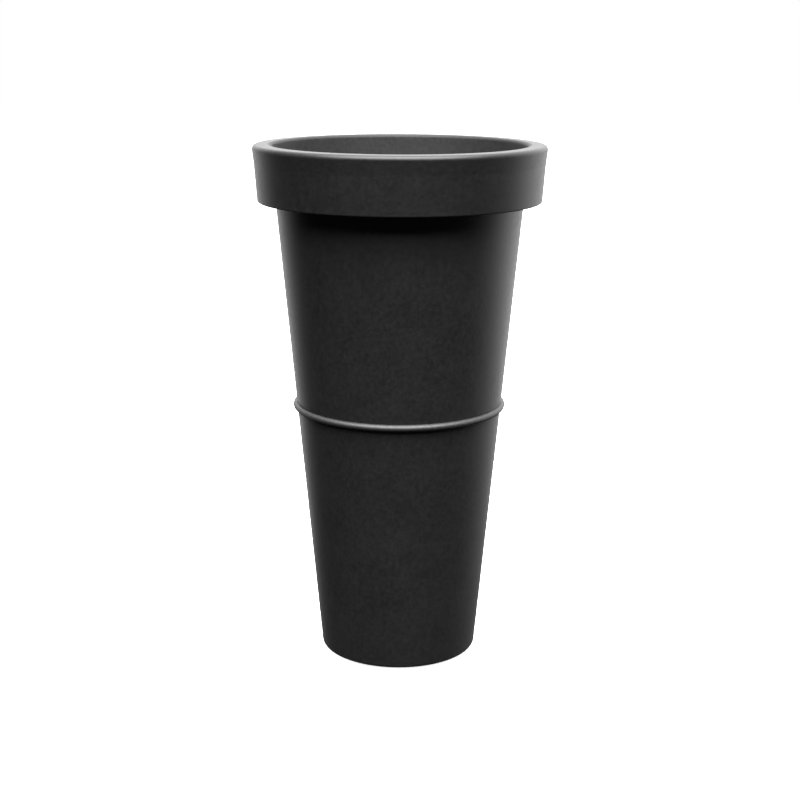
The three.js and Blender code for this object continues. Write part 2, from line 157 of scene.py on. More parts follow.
lamp = bpy.data.lights.new("overhead_soft_box", "AREA")
lamp.shape = "RECTANGLE"
lamp.size, lamp.size_y = SOFT_BOX_SIZE
lamp.energy = SOFT_BOX_WATTS
soft_box = bpy.data.objects.new("overhead_soft_box", lamp)
scene.collection.objects.link(soft_box)
soft_box.location = SOFT_BOX_PLACE
aim = Vector(SOFT_BOX_AIM) - Vector(SOFT_BOX_PLACE)
soft_box.rotation_euler = aim.to_track_quat("-Z", "Y").to_euler()

world = bpy.data.worlds.new("studio")
scene.world = world
world.use_nodes = True
sky = world.node_tree
sky.nodes.clear()

smooth = {"interpolation_type": "SMOOTHSTEP"}
way = add(sky, "TexCoord").outputs["Generated"]
rightward, backward, upward = add(sky, "SeparateXYZ", [way]).outputs
turned = add(sky, "Math", [rightward, BACKDROP_LEAN, backward], operation="MULTIPLY_ADD")
on_the_right = add(sky, "Math", [rightward, 0.0], operation="MAXIMUM")
further = add(sky, "Math", [on_the_right, BACKDROP_RETURN, turned], operation="MULTIPLY_ADD")
behind = add(sky, "MapRange", [further, BACKDROP_START, BACKDROP_FULL, 0.0, BACKDROP_LIGHT], **smooth)
height = add(sky, "Math", [rightward, -BACKDROP_TILT, upward], operation="MULTIPLY_ADD")
above_foot = add(sky, "MapRange", [height, *BACKDROP_FOOT, 0.0, 1.0], **smooth)
brighter_high = add(sky, "MapRange", [upward, *BACKDROP_TOP, 1.0, BACKDROP_TOP_GAIN], **smooth)
over_the_floor = add(sky, "Math", [behind, above_foot], operation="MULTIPLY")
backdrop = add(sky, "Math", [over_the_floor, brighter_high], operation="MULTIPLY")
ceiling = add(sky, "MapRange", [upward, *OVERHEAD_EDGE, 0.0, OVERHEAD_LIGHT], **smooth)
floor_glow = add(sky, "MapRange", [upward, *FLOOR_EDGE, FLOOR_GLOW, 0.0], **smooth)
upper_part = add(sky, "Math", [backdrop, ceiling], operation="ADD")
sources = add(sky, "Math", [upper_part, floor_glow], operation="ADD")
room = add(sky, "Background", {"Color": linear(WHITE), "Strength": sources})
seen = add(sky, "Background", {"Color": linear(WHITE), "Strength": 1.0})
direct = add(sky, "LightPath").outputs["Is Camera Ray"]
shown = add(sky, "MixShader", [direct, room, seen])
add(sky, "OutputWorld", {"Surface": shown})

# ---------------------------------------------------------------------------------------------
# Body shell: hand-laid glass-fibre laminate, one tapered tube with a floor that is raised inside a
# heel. Its top edge steps out under the collar. Outside it is faired and sprayed; inside it is
# brushed with flow coat, which leaves the chopped strands showing through.
BASE_RADIUS = 140.0
MOUTH_RADIUS = 224.0
SHELL_WALL = 3.5
FLOOR_THICKNESS = 5.0
BASE_FILLET = 5.5
FLOOR_FILLET = 8.0
HEEL_WIDTH = 17.0
RECESS_DEPTH = 6.0
RECESS_DRAFT = 2.0  # how far the recess narrows towards its top
RECESS_FILLET = 1.5
JOGGLE_RISE = 10.0  # height of the step under the collar
JOGGLE_STEP = 3.3  # how far it steps out
JOGGLE_FILLET = 4.0
JOGGLE_INNER_FILLET = 2.0
TOP_EDGE = 0.4  # rounding of its trimmed top edge
CORE_ABOVE_JOGGLE = 10.0  # from the step's top to the collar's core
FLOOR_HOLE_RADIUS = 14.6
BIG_SIDES = 256
SMALL_SIDES = 96
ARC_TURN = math.radians(9)  # turn between two points on a fillet
HOLD = 0.4  # length of the run beside a fillet that keeps the flat next to it flat
SHARP_FROM = 32.0  # degrees between two faces from which their edge is shaded sharp
INSIDE_FROM = 1.5  # how far in from a laminate's outer face its faces count as inside
FACE_SLACK = 0.1  # how far below the floor's top a face's middle may come out by rounding
RECESS_COAT_INSET = 0.5  # how far inside the recess's edge its flow coat starts
COATING_DARK = "#0f0f0f"
COATING_LIGHT = "#1c1c1c"
COATING_ROUGHNESS = 0.46
COATING_GLOSS = 0.5
FLOW_COAT_DARK = "#2f3133"
FLOW_COAT_LIGHT = "#45474a"


def cad_size(name):
    """Lowest and highest corner of a CAD node in millimetres."""
    return [np.array(corner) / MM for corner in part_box(name)]


shell_low, shell_high = cad_size("body_shell")
collar_low, collar_high = cad_size("rim_collar")
heel = shell_low[2]
shell_top = shell_high[2]
rim_top = collar_high[2]
wall_slope = (MOUTH_RADIUS - BASE_RADIUS) / (rim_top - heel)


def wall(z):
    """Radius of the shell's outer wall at a height."""
    return BASE_RADIUS + wall_slope * (z - heel)


def inner_wall(z):
    """Radius of the shell's inner face at a height."""
    return wall(z) - SHELL_WALL


def rounded(corners):
    """An outline from corners of (radius, height, fillet).

    A corner with a fillet f becomes an arc of radius f that touches both of its edges. The arc
    starts f / tan(half the inner angle) before the corner, and a short run holds each flat beside
    it. A corner without one stays sharp.
    """
    points = np.array([corner[:2] for corner in corners], float)
    outline = []
    for i, (*_, fillet) in enumerate(corners):
        here = points[i]
        if fillet == 0:
            outline.append(here)
            continue
        back = points[i - 1] - here
        ahead = points[(i + 1) % len(points)] - here
        back_length, ahead_length = np.linalg.norm(back), np.linalg.norm(ahead)
        back, ahead = back / back_length, ahead / ahead_length
        inner = math.acos(np.clip(back @ ahead, -1, 1))
        reach = fillet / math.tan(inner / 2)
        middle = here + (back + ahead) / np.linalg.norm(back + ahead) * fillet / math.sin(inner / 2)
        x, y = here + back * reach - middle
        side = -np.sign(back[0] * ahead[1] - back[1] * ahead[0])
        angles = side * np.linspace(0, math.pi - inner, max(3, math.ceil((math.pi - inner) / ARC_TURN)))
        cosine, sine = np.cos(angles), np.sin(angles)
        arc = middle + np.stack([x * cosine - y * sine, x * sine + y * cosine], 1)
        if back_length > reach + 2 * HOLD:
            outline.append(here + back * (reach + HOLD))
        outline.extend(arc)
        if ahead_length > reach + 2 * HOLD:
            outline.append(here + ahead * (reach + HOLD))
    return np.array(outline)


def revolved(outline, sides, centre=(0, 0)):
    """Vertices and faces of a solid of revolution.

    A point at radius r and height z of the outline, which runs anticlockwise, goes to
    (cx + r cos a, cy + r sin a, z) at each angle a. An outline that starts and ends on the axis is
    closed there by a pole at each end, and any other closes on itself.
    """
    outline = np.asarray(outline, float)
    poles = outline[0, 0] == outline[-1, 0] == 0
    rings = outline[1:-1] if poles else outline
    angles = np.linspace(0, 2 * math.pi, sides, endpoint=False)
    x = centre[0] + rings[:, :1] * np.cos(angles)
    y = centre[1] + rings[:, :1] * np.sin(angles)
    vertices = np.stack([x, y, np.repeat(rings[:, 1:], sides, 1)], 2).reshape(-1, 3)
    rows = np.arange(len(rings) - 1 if poles else len(rings))[:, None]
    low = rows * sides + np.arange(sides)
    high = (rows + 1) % len(rings) * sides + np.arange(sides)
    faces = np.stack([low, np.roll(low, -1, 1), np.roll(high, -1, 1), high], 2).reshape(-1, 4).tolist()
    if poles:
        ring = np.arange(sides)
        last = ring + (len(rings) - 1) * sides
        ends = [[*centre, outline[0, 1]], [*centre, outline[-1, 1]]]
        first_pole, last_pole = np.full((2, sides), [[len(vertices)], [len(vertices) + 1]])
        vertices = np.vstack([vertices, ends])
        faces += np.stack([first_pole, np.roll(ring, -1), ring], 1).tolist()
        faces += np.stack([last_pole, last, np.roll(last, -1)], 1).tolist()
    return vertices, faces


def new_piece(name, mesh, body, nodes, slot, *materials):
    """An object at the origin that rides on a body and stands for CAD nodes."""
    piece = bpy.data.objects.new(name, mesh)
    scene.collection.objects.link(piece)
    for material in materials:
        mesh.materials.append(material)
    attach(piece, body)
    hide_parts(*nodes)


def mesh_of(name, vertices, faces):
    """A mesh from vertices in millimetres, smooth but for its sharp edges."""
    mesh = bpy.data.meshes.new(name)
    mesh.from_pydata((vertices * MM).tolist(), [], faces)
    mesh.shade_smooth()
    mesh.set_sharp_from_angle(angle=math.radians(SHARP_FROM))
    return mesh


def use_second_material(mesh, chosen):
    """Gives the second material to the faces where chosen(radius, height), in millimetres, holds."""
    centres = np.empty(len(mesh.polygons) * 3)
    mesh.polygons.foreach_get("center", centres)
    x, y, z = centres.reshape(-1, 3).T / MM
    mesh.polygons.foreach_set("material_index", chosen(np.hypot(x, y), z).astype(np.int32))


def stretched(tree, place, length, width, turn):
    """Coordinates turned by degrees about X, Y and Z, then counted in units of length millimetres
    along Z and of width millimetres along X and Y. Noise of scale 1 on them has that grain."""
    angles = [math.radians(angle) for angle in turn]
    turned = add(tree, "Mapping", {"Vector": place, "Rotation": angles})
    units = [1 / (width * MM), 1 / (width * MM), 1 / (length * MM)]
    return add(tree, "Mapping", {"Vector": turned, "Scale": units})


def sprayed_coating(name, roughness, gloss, dark=COATING_DARK, light=COATING_LIGHT):
    """Two-pack coating sprayed over filler. Clouds of grey 60 mm across from the overlapping passes,
    7 mm blotches, a 1.6 mm orange peel and slight changes of sheen give it a mottled, matt look."""
    material, tree, shader, place = new_material(name, {"IOR": 1.5, "Specular IOR Level": gloss})
    passes = {"Vector": place, "Scale": 1 / (60 * MM), "Detail": 4, "Roughness": 0.6, "Distortion": 0.4}
    clouds = add(tree, "TexNoise", passes)
    spots = {"Vector": place, "Scale": 1 / (7 * MM), "Detail": 3, "Roughness": 0.6}
    blotches = add(tree, "TexNoise", spots)
    peel = add(tree, "TexNoise", {"Vector": place, "Scale": 1 / (1.6 * MM)})
    mottle = add(tree, "Math", [clouds, 0.4, blotches], operation="MULTIPLY_ADD")
    sheen = add(tree, "MapRange", [mottle, 0.5, 0.9, roughness - 0.03, roughness + 0.03])
    speckle = add(tree, "Math", [peel, 0.35, mottle], operation="MULTIPLY_ADD")
    greys = {"Factor": add(tree, "MapRange", [speckle, 0.6, 1.15]), 6: linear(dark), 7: linear(light)}
    colour = add(tree, "Mix", greys, data_type="RGBA").outputs[2]
    uneven = add(tree, "Bump", {"Height": blotches, "Distance": 0.12 * MM})
    skin = add(tree, "Bump", {"Height": peel, "Distance": 0.02 * MM, "Normal": uneven})
    feed(tree, shader, {"Base Color": colour, "Roughness": sheen, "Normal": skin})
    return material


def flow_coat():
    """Flow coat brushed over chopped-strand laminate. Lighter strands 38 mm long lie in all directions
    under a satin skin that is thicker in some places, with brush drag up and down the wall."""
    material, tree, shader, place = new_material("brushed_flow_coat_on_laminate", {"IOR": 1.54})
    strands = 0.0
    for turn in ((12, 0, 0), (55, 20, 0), (-48, 0, 35), (90, 0, 70), (80, 30, 140)):
        along = stretched(tree, place, 38, 1.1, turn)
        fibres = add(tree, "TexNoise", {"Vector": along, "Scale": 1, "Detail": 1})
        lines = add(tree, "MapRange", [fibres, 0.6, 0.72])
        strands = add(tree, "Math", [strands, lines], operation="MAXIMUM")
    pools = {"Vector": place, "Scale": 1 / (45 * MM), "Detail": 4, "Roughness": 0.6}
    patches = add(tree, "TexNoise", pools)
    bristles = stretched(tree, place, 18, 0.5, (0, 0, 0))
    drag = add(tree, "TexNoise", {"Vector": bristles, "Scale": 1})
    shade = add(tree, "Math", [strands, 0.35, patches], operation="MULTIPLY_ADD")
    greys = {6: linear(FLOW_COAT_DARK), 7: linear(FLOW_COAT_LIGHT)}
    greys["Factor"] = add(tree, "MapRange", [shade, 0.35, 0.9])
    colour = add(tree, "Mix", greys, data_type="RGBA").outputs[2]
    sheen = add(tree, "MapRange", [drag, 0.3, 0.7, 0.32, 0.5])
    raised = add(tree, "Bump", {"Height": strands, "Distance": 0.12 * MM})
    brushed = add(tree, "Bump", {"Height": drag, "Distance": 0.25 * MM, "Normal": raised})
    thick = add(tree, "Bump", {"Height": patches, "Distance": 0.35 * MM, "Normal": brushed})
    feed(tree, shader, {"Base Color": colour, "Roughness": sheen, "Normal": thick})
    return material


coating = sprayed_coating("sprayed_charcoal_coating", COATING_ROUGHNESS, COATING_GLOSS)
inside_coat = flow_coat()

recess_top = heel + RECESS_DEPTH
floor_top = recess_top + FLOOR_THICKNESS
recess_radius = BASE_RADIUS - HEEL_WIDTH
joggle_top = cad_size("rim_core_1")[0][2] - CORE_ABOVE_JOGGLE
joggle_bottom = joggle_top - JOGGLE_RISE
shell_outline = rounded(
    [
        (FLOOR_HOLE_RADIUS, recess_top, 0),
        (recess_radius - RECESS_DRAFT, recess_top, RECESS_FILLET),
        (recess_radius, heel, RECESS_FILLET),
        (BASE_RADIUS, heel, BASE_FILLET),
        (wall(joggle_bottom), joggle_bottom, JOGGLE_FILLET),
        (wall(joggle_top) + JOGGLE_STEP, joggle_top, JOGGLE_FILLET),
        (wall(shell_top) + JOGGLE_STEP, shell_top, TOP_EDGE),
        (inner_wall(shell_top) + JOGGLE_STEP, shell_top, TOP_EDGE),
        (inner_wall(joggle_top) + JOGGLE_STEP, joggle_top, JOGGLE_INNER_FILLET),
        (inner_wall(joggle_bottom), joggle_bottom, JOGGLE_INNER_FILLET),
        (inner_wall(floor_top), floor_top, FLOOR_FILLET),
        (FLOOR_HOLE_RADIUS, floor_top, 0),
    ]
)
shell_mesh = mesh_of("shell", *revolved(shell_outline, BIG_SIDES))
new_piece("shell", shell_mesh, "planter", ["body_shell"], "coating", coating, inside_coat)


def flow_coated(radius, height):
    """Where the flow coat is: over the inside, and in the recess under the floor."""
    inside = (height > floor_top - FACE_SLACK) & (radius < wall(height) - INSIDE_FROM)
    in_recess = (height < floor_top) & (radius < recess_radius - RECESS_COAT_INSET)
    return inside | in_recess


use_second_material(shell_mesh, flow_coated)

# ---------------------------------------------------------------------------------------------
# Collar: a separate laminate moulding, an upside-down channel bonded over the shell's top edge. Its
# face leans out to a rolled lip, and its coat is a little duller than the shell's. Its inner leg
# carries on the line of the shell's inside. The leg and the inside of the channel get a paler,
# rougher copy of the coating: the paleness is painted light, for the brighter light on the leg.
COLLAR_WALL = 4.0
COLLAR_FLARE = 7.2  # how far its face leans out from bottom to top
COLLAR_EDGE_FILLET = 2.2
COLLAR_INNER_EDGE = 1.0
LIP_PROUD = 0.5  # how far the lip stands out from the line of the face
LIP_RADIUS = 7.5
LIP_SWELL = 32.0  # below the top, where the face starts to lean out further
SWELL_FILLET = 60.0
LIP_CORNER = 0.9  # how far outside the lip its two sides would meet if it weren't rounded
INNER_FILLET = 6.0
INNER_LEG_WALL = 3.0
LEG_GAP = 0.3  # glue line between the inner leg and the shell's step
LEG_EDGE = 0.6
EDGE_COAT = 1.0  # how far up its bottom edge is coated like the face
PAINTED_LIT_DEPTH = 3.0  # from this far below the top all but the face gets the paler, painted-lit coating
COLLAR_GLOSS = 0.42
# The inner leg's paler coating: its greys are painted light, lighter than the face's coating.
PAINTED_LIT_ROUGHNESS = 0.6
PAINTED_LIT_GLOSS = 0.25
PAINTED_LIT_DARK = "#1d1d1d"
PAINTED_LIT_LIGHT = "#2a2a2a"

lip_radius = collar_high[0]
collar_bottom = collar_low[2]
leg_bottom = joggle_top + LEG_GAP
under_top = rim_top - COLLAR_WALL


def collar_face(z):
    """Radius of the collar's leaning outer face at a height."""
    return lip_radius - LIP_PROUD - COLLAR_FLARE * (rim_top - z) / (rim_top - collar_bottom)


collar_outline = rounded(
    [
        (collar_face(collar_bottom) - COLLAR_WALL, collar_bottom, COLLAR_INNER_EDGE),
        (collar_face(collar_bottom), collar_bottom, COLLAR_EDGE_FILLET),
        (collar_face(rim_top - LIP_SWELL), rim_top - LIP_SWELL, SWELL_FILLET),
        (lip_radius + LIP_CORNER, rim_top, LIP_RADIUS),
        (inner_wall(rim_top), rim_top, INNER_FILLET),
        (inner_wall(leg_bottom), leg_bottom, LEG_EDGE),
        (inner_wall(leg_bottom) + INNER_LEG_WALL, leg_bottom, 0),
        (inner_wall(under_top) + INNER_LEG_WALL, under_top, 0),
        (collar_face(under_top) - COLLAR_WALL, under_top, 0),
    ]
)
collar_coating = sprayed_coating("duller_charcoal_coating", COATING_ROUGHNESS, COLLAR_GLOSS)
# A paler copy of the coating for the inner leg and the channel: the paleness is painted light.
painted_lit_coating = sprayed_coating(
    "charcoal_coating_painted_lit", PAINTED_LIT_ROUGHNESS, PAINTED_LIT_GLOSS, PAINTED_LIT_DARK, PAINTED_LIT_LIGHT
)
collar_mesh = mesh_of("collar", *revolved(collar_outline, BIG_SIDES))
new_piece("collar", collar_mesh, "planter", ["rim_collar"], "coating", collar_coating, painted_lit_coating)
flat_inside = inner_wall(rim_top) + INNER_FILLET


def painted_lit_faces(radius, height):
    """Where the painted-lit coating goes: down the inner leg from the flat top, and inside the channel.
    """
    off_the_flat = (height < rim_top - PAINTED_LIT_DEPTH) | (radius < flat_inside)
    inside = (radius < collar_face(height) - INSIDE_FROM) & (height > collar_bottom + EDGE_COAT)
    return off_the_flat & inside


use_second_material(collar_mesh, painted_lit_faces)

# ---------------------------------------------------------------------------------------------
# Soffit: a flat laminate ring set up inside the collar's bottom edge, which closes the collar from
# below. It is glued to the wall and to the collar, and the joints are wiped with filler.
FILLER_OVERLAP = 0.2  # how far the filler carries the ring into its neighbours

soffit_low, soffit_high = cad_size("rim_soffit")
soffit_bottom, soffit_top = soffit_low[2], soffit_high[2]


def soffit_edges(z):
    """Radii at a height of the soffit's edges, against the wall and against the collar."""
    return wall(z) - FILLER_OVERLAP, collar_face(z) - COLLAR_WALL + FILLER_OVERLAP


bottom_inner, bottom_outer = soffit_edges(soffit_bottom)
top_inner, top_outer = soffit_edges(soffit_top)
soffit_outline = [
    (bottom_inner, soffit_bottom),
    (bottom_outer, soffit_bottom),
    (top_outer, soffit_top),
    (top_inner, soffit_top),
]
soffit_mesh = mesh_of("soffit", *revolved(soffit_outline, BIG_SIDES))
new_piece("soffit", soffit_mesh, "planter", ["rim_soffit"], "coating", coating)

# ---------------------------------------------------------------------------------------------
# Collar core: four blocks of rigid foam, cut from sheet and glued in the top of the collar between
# the shell and the face. They are out of sight, and keep their plain CAD shape.
CORE_BLOCKS = 4
FOAM_DARK = "#b9a06a"
FOAM_LIGHT = "#dcc893"
FOAM_CELL = 0.35


def cut_foam():
    """Rigid foam cut with a wire: straw-yellow, with open cells a third of a millimetre across."""
    material, tree, shader, place = new_material("wire_cut_rigid_foam", {"Roughness": 0.85})
    cells = add(tree, "TexVoronoi", {"Vector": place, "Scale": 1 / (FOAM_CELL * MM)})
    stains = {"Vector": place, "Scale": 1 / (14 * MM), "Detail": 4, "Roughness": 0.6}
    patches = add(tree, "TexNoise", stains)
    yellows = {6: linear(FOAM_DARK), 7: linear(FOAM_LIGHT)}
    yellows["Factor"] = add(tree, "MapRange", [patches, 0.35, 0.65])
    colour = add(tree, "Mix", yellows, data_type="RGBA").outputs[2]
    open_cells = add(tree, "Bump", {"Height": cells, "Distance": 0.15 * MM})
    uneven = add(tree, "Bump", {"Height": patches, "Distance": 0.3 * MM, "Normal": open_cells})
    feed(tree, shader, {"Base Color": colour, "Normal": uneven})
    return material


foam = cut_foam()
for i in range(1, CORE_BLOCKS + 1):
    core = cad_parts[f"rim_core_{i}"]
    core.data.materials.clear()
    core.data.materials.append(foam)

# ---------------------------------------------------------------------------------------------
# Waist bead: a half-round laminate moulding bonded round the wall at mid height and coated with it.
# It stands proud and has been rubbed in handling, so its coat takes a broader, brighter highlight.
BEAD_RADIUS = 6.6
BEAD_HALF_HEIGHT = 6.0
BEAD_DROP = 0.6  # how far its middle lies below that of the CAD's bead
BEAD_HALF_TURN = 98.0  # degrees of its section to either side of its front
BEAD_POINTS = 49
BEAD_SUNK = 1.0  # how far its back runs into the wall
RUBBED_ROUGHNESS = 0.58
RUBBED_GLOSS = 0.8

bead_low, bead_high = cad_size("waist_bead")
bead_height = (bead_low[2] + bead_high[2]) / 2 - BEAD_DROP
bead_middle = np.array([bead_high[0] - BEAD_RADIUS, bead_height])
bead_angles = np.linspace(-1, 1, BEAD_POINTS) * math.radians(BEAD_HALF_TURN) - math.atan(wall_slope)
bead_section = [BEAD_RADIUS * np.cos(bead_angles), BEAD_HALF_HEIGHT * np.sin(bead_angles)]
bead_front = bead_middle + np.stack(bead_section, 1)
end_heights = bead_front[[-1, 0], 1]
bead_ends = np.stack([wall(end_heights) - BEAD_SUNK, end_heights], 1)
bead_mesh = mesh_of("bead", *revolved(np.vstack([bead_front, bead_ends]), BIG_SIDES))
rubbed_coating = sprayed_coating("rubbed_charcoal_coating", RUBBED_ROUGHNESS, RUBBED_GLOSS)
new_piece("bead", bead_mesh, "planter", ["waist_bead"], "coating", rubbed_coating)

# ---------------------------------------------------------------------------------------------
# Base board: a disc of plywood bedded on the laminate floor to carry the drain and the feet. It is
# sealed all over with clear resin, and counterbored in the middle for the drain's flange.
BOARD_DARK = "#6d5836"
BOARD_LIGHT = "#9c8356"
BOARD_PORE = "#4e3e26"
PLY_THICKNESS = 2.86
WAVE_RATE = 20  # radians that a wave texture turns in one unit
COUNTERBORE_RADIUS = 24.0
COUNTERBORE_DEPTH = 6.0


def sealed_plywood():
    """Birch plywood under resin: figure and pores drawn out along Y, plies that show as bands at
    its edge, and a wet sheen where the resin lies thick."""
    material, tree, shader, place = new_material("resin_sealed_plywood", {"IOR": 1.5})
    broad = stretched(tree, place, 1.5, 20, (0, 90, 0))
    figure = add(tree, "TexNoise", {"Vector": broad, "Scale": 1, "Detail": 6, "Distortion": 1.5})
    fine = stretched(tree, place, 0.5, 6, (0, 90, 0))
    pores = add(tree, "TexNoise", {"Vector": fine, "Scale": 1, "Detail": 3})
    bands = {"Vector": place, "Scale": math.pi / (WAVE_RATE * PLY_THICKNESS * MM)}
    plies = add(tree, "TexWave", bands, bands_direction="Z").outputs["Fac"]
    browns = {6: linear(BOARD_DARK), 7: linear(BOARD_LIGHT)}
    browns["Factor"] = add(tree, "MapRange", [figure, 0.35, 0.65])
    wood = add(tree, "Mix", browns, data_type="RGBA").outputs[2]
    open_pores = add(tree, "Math", [plies, pores], operation="MULTIPLY")
    darkened = {6: wood, 7: linear(BOARD_PORE)}
    darkened["Factor"] = add(tree, "MapRange", [open_pores, 0.3, 0.6, 0.0, 0.55])
    colour = add(tree, "Mix", darkened, data_type="RGBA").outputs[2]
    resin = add(tree, "TexNoise", {"Vector": place, "Scale": 1 / (25 * MM), "Detail": 3})
    sheen = add(tree, "MapRange", [resin, 0.35, 0.65, 0.22, 0.45])
    sunk = add(tree, "Bump", {"Height": pores, "Distance": 0.05 * MM})
    pooled = add(tree, "Bump", {"Height": resin, "Distance": 0.4 * MM, "Normal": sunk})
    feed(tree, shader, {"Base Color": colour, "Roughness": sheen, "Normal": pooled})
    return material


board_low, board_high = cad_size("base_board")
board_outline = rounded(
    [
        (FLOOR_HOLE_RADIUS, board_low[2], 0),
        (board_high[0], board_low[2], 0.5),
        (board_high[0], board_high[2], 1.2),
        (COUNTERBORE_RADIUS, board_high[2], 0.6),
        (COUNTERBORE_RADIUS, board_high[2] - COUNTERBORE_DEPTH, 0.3),
        (FLOOR_HOLE_RADIUS, board_high[2] - COUNTERBORE_DEPTH, 0),
    ]
)
board_mesh = mesh_of("board", *revolved(board_outline, BIG_SIDES))
new_piece("board", board_mesh, "planter", ["base_board"], "board", sealed_plywood())

# ---------------------------------------------------------------------------------------------
# Planting shelf: one injection-moulded plastic disc that lies loose on the cleats. It has weep
# holes, two finger holes to lift it by, and a ring and three bars below to stiffen it.
SHELF_THICKNESS = 8.0
SHELF_EDGE = 1.5  # rounding of its rim and holes
EDGE_POINTS = 6  # on a quarter circle of that rounding
RIB_RING_INSET = 50.0  # from the shelf's edge to the outside of the ring
RIB_WIDTH = 6.0
RIB_LAP = 1.0  # how far the ribs run into the disc
RIB_EDGE = 1.0
BAR_ANGLES = (90, 150, 210)
WEEP_RADIUS = 6.0
WEEP_SIDES = 40
WEEP_INNER_CIRCLE = 50.0  # radius of the inner circle of weep holes
WEEP_INSIDE_RING = 25.0  # from the ring's outside in to the middle circle
WEEP_OUTSIDE_RING = 12.5  # and out to the outer circle
FINGER_RADIUS = 16.0
FINGER_DISTANCE = 91.5
SHELF_DARK = "#1d1e1f"
SHELF_LIGHT = "#2a2b2c"
SHELF_ROUGHNESS = 0.52
SHELF_GRAIN = 0.5


def circle(radius, sides, centre=(0, 0)):
    """Points at even angles a round a centre: (cx + r cos a, cy + r sin a)."""
    angles = np.linspace(0, 2 * math.pi, sides, endpoint=False)
    return np.stack([np.cos(angles), np.sin(angles)], 1) * radius + centre


def pierced_disc(radius, holes, low, high, edge):
    """Vertices and faces of a disc with round holes, each given as (centre, radius, sides).

    Each edge is rounded by a quarter circle: at its angle t it lies edge (1 - sin t) in from the
    edge's own circle and edge (1 - cos t) in from the face. The flats are triangulated between the
    inmost circles, and triangles whose middle lies in a hole are left out.
    """
    t = np.linspace(0, math.pi / 2, EDGE_POINTS)
    inset = edge * (1 - np.sin(t))
    drop = edge * (1 - np.cos(t))
    insets = np.concatenate([inset, inset[::-1]])
    heights = np.concatenate([high - drop, (low + drop)[::-1]])
    vertices, faces, tops, bottoms = [], [], [], []
    count = 0
    loops = [((0, 0), radius, BIG_SIDES, 1)] + [(*hole, -1) for hole in holes]
    for centre, size, sides, inward in loops:
        unit = circle(1, sides)
        rings = unit[None] * (size - inward * insets)[:, None, None] + np.array(centre)
        levels = np.broadcast_to(heights[:, None, None], (len(heights), sides, 1))
        vertices.append(np.concatenate([rings, levels], 2).reshape(-1, 3))
        index = count + np.arange(len(heights) * sides).reshape(-1, sides)
        upper, lower = index[:-1], index[1:]
        quads = np.stack([upper, np.roll(upper, -1, 1), np.roll(lower, -1, 1), lower], 2).reshape(-1, 4)
        faces += (quads[:, ::-1] if inward > 0 else quads).tolist()
        tops.append(index[0])
        bottoms.append(index[-1])
        count += index.size
    vertices = np.vstack(vertices)
    top, bottom = np.concatenate(tops), np.concatenate(bottoms)
    flat = vertices[top, :2]
    starts = np.cumsum([0] + [len(loop) for loop in tops])
    runs = [np.arange(a, b) for a, b in zip(starts, starts[1:])]
    edges = np.concatenate([np.stack([run, np.roll(run, -1)], 1) for run in runs])
    # Output type 0 keeps every triangle, and points within 1e-7 mm count as one.
    made = delaunay_2d_cdt([Vector(p) for p in flat], edges.tolist(), [], 0, 1e-7)
    corners = np.array([list(p) for p in made[0]])
    triangles = np.array(made[2])
    middles = corners[triangles].mean(1)
    keep = np.ones(len(triangles), bool)
    for centre, size, _ in holes:
        keep &= np.linalg.norm(middles - centre, axis=1) > size
    triangles = triangles[keep]
    a, b, c = corners[triangles].transpose(1, 0, 2)
    area = (b - a)[:, 0] * (c - a)[:, 1] - (b - a)[:, 1] * (c - a)[:, 0]
    triangles[area < 0] = triangles[area < 0][:, ::-1]
    faces += top[triangles].tolist() + bottom[triangles[:, ::-1]].tolist()
    return vertices, faces


def bar(length, width, low, high, angle):
    """Vertices and faces of a straight bar through the axis, at an angle in degrees."""
    ends, sides = np.array([-0.5, 0.5]) * length, np.array([-0.5, 0.5]) * width
    x, y, z = np.meshgrid(ends, sides, [low, high], indexing="ij")
    cosine, sine = math.cos(math.radians(angle)), math.sin(math.radians(angle))
    vertices = np.stack([x * cosine - y * sine, x * sine + y * cosine, z], 3).reshape(-1, 3)
    faces = [[0, 1, 3, 2], [4, 6, 7, 5], [0, 4, 5, 1], [2, 3, 7, 6], [0, 2, 6, 4], [1, 5, 7, 3]]
    return vertices, faces


def gathered(*solids):
    """Vertices and faces of several solids as one list."""
    vertices, faces, count = [], [], 0
    for points, sides in solids:
        vertices.append(points)
        faces += [[count + i for i in side] for side in sides]
        count += len(points)
    return np.vstack(vertices), faces


def moulded_plastic(name, dark, light, roughness, grain_size):
    """Injection-moulded plastic: a spark-eroded grain, drawn at grain_size millimetres so that it
    shows, slow flow marks in its sheen, and a little pale scuffing."""
    material, tree, shader, place = new_material(name, {"IOR": 1.49})
    grain = add(tree, "TexNoise", {"Vector": place, "Scale": 1 / (grain_size * MM)})
    marks = {"Vector": place, "Scale": 1 / (70 * MM), "Detail": 3, "Roughness": 0.55, "Distortion": 1.2}
    flow = add(tree, "TexNoise", marks)
    rubs = {"Vector": place, "Scale": 1 / (4 * MM), "Detail": 6, "Roughness": 0.75}
    scuffs = add(tree, "MapRange", [add(tree, "TexNoise", rubs), 0.58, 0.75, 0.0, 0.5])
    shades = {6: linear(dark), 7: linear(light)}
    shades["Factor"] = add(tree, "Math", [flow, 0.5, scuffs], operation="MULTIPLY_ADD")
    colour = add(tree, "Mix", shades, data_type="RGBA").outputs[2]
    sheen = add(tree, "MapRange", [flow, 0.3, 0.7, roughness - 0.05, roughness + 0.06])
    eroded = add(tree, "Bump", {"Height": grain, "Distance": 0.03 * MM})
    feed(tree, shader, {"Base Color": colour, "Roughness": sheen, "Normal": eroded})
    return material


shelf_low, shelf_high = cad_size("planting_shelf")
shelf_bottom = shelf_high[2] - SHELF_THICKNESS
ring_radius = shelf_high[0] - RIB_RING_INSET
holes = [((side * FINGER_DISTANCE, 0), FINGER_RADIUS, SMALL_SIDES) for side in (1, -1)]
